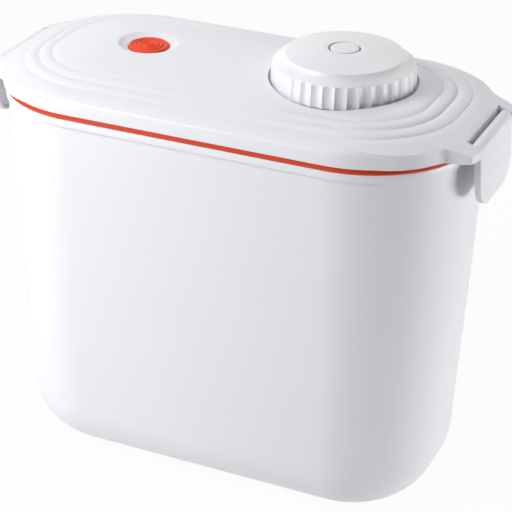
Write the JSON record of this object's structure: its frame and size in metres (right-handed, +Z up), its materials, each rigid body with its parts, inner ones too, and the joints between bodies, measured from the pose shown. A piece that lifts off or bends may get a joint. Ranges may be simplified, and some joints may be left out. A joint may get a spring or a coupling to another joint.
{
  "type": "vacuum food canister",
  "caption": "Tall oval white food canister with a terraced lid, a twist knob that works a vacuum pump, a press button that lets air back in, an orange seal and end latches.",
  "frame": {"origin": "centre of the base, on the surface that the canister stands on", "axes": "+Z up, +X along the long side towards the pump knob, the long front faces -Y"},
  "size_m": [0.3218, 0.155, 0.2883],
  "materials": {
    "tub_white": "satin moulded white plastic",
    "lid_white": "satin moulded white plastic with a fine grain",
    "knob_white": "satin moulded white plastic",
    "pump_white": "natural white moulded plastic",
    "pump_grey": "grey bearing-grade plastic",
    "silicone_orange": "soft orange silicone",
    "button_orange": "soft orange silicone with ripple rings",
    "rubber_black": "black rubber",
    "filter_foam": "open-cell foam",
    "steel": "stainless steel",
    "spring_steel": "spring steel wire"
  },
  "bodies": {
    "tub": {"tub": "tub_white"},
    "lid": {"lid_cover": "lid_white", "lid_liner": "lid_white", "rim_seal": "silicone_orange", "liner_screws": "steel", "hinge_pin_right": "steel", "hinge_pin_left": "steel", "shoulder_screw": "steel", "guide_sleeve": "pump_grey", "pump_barrel": "pump_white", "barrel_screws": "steel", "barrel_base": "pump_white", "inlet_valve": "rubber_black", "dust_filter": "filter_foam", "filter_cover": "pump_white", "valve_bush": "pump_white", "valve_spring": "spring_steel"},
    "latch_right": {"latch_right": "lid_white"},
    "latch_left": {"latch_left": "lid_white"},
    "knob": {"knob_grip": "knob_white", "knob_cap": "knob_white", "cam_drum": "pump_grey", "knob_screws": "steel"},
    "piston": {"piston": "pump_grey", "piston_seal": "rubber_black", "follower_pin": "steel", "outlet_valve": "rubber_black"},
    "button": {"release_button": "button_orange", "valve_stem": "pump_grey", "valve_pad": "silicone_orange"}
  },
  "joints": [
    {"name": "lid_lift", "type": "slide", "parent": "tub", "child": "lid", "axis": [0, 0, 1], "range_m": [0, 0.06]},
    {"name": "latch_right_hinge", "type": "hinge", "parent": "lid", "child": "latch_right", "pos_m": [0.155, 0, 0.25061], "axis": [0, -1, 0], "range_deg": [-7, 110]},
    {"name": "latch_left_hinge", "type": "hinge", "parent": "lid", "child": "latch_left", "pos_m": [-0.155, 0, 0.25061], "axis": [0, 1, 0], "range_deg": [-7, 110]},
    {"name": "knob_twist", "type": "hinge", "parent": "lid", "child": "knob", "pos_m": [0.064, 0, 0.266], "axis": [0, 0, -1], "range_deg": [0, 120]},
    {"name": "piston_stroke", "type": "slide", "parent": "lid", "child": "piston", "axis": [0, 0, 1], "range_m": [0, 0.015]},
    {"name": "button_press", "type": "slide", "parent": "lid", "child": "button", "axis": [0, 0, -1], "range_m": [0, 0.003], "stiffness_N_per_m": 800, "springref_m": -0.002, "deforming": ["valve_spring"]}
  ],
  "couplings": [
    {"joint": "piston_stroke", "follows": "knob_twist", "m_per_rad": 0.007162}
  ]
}
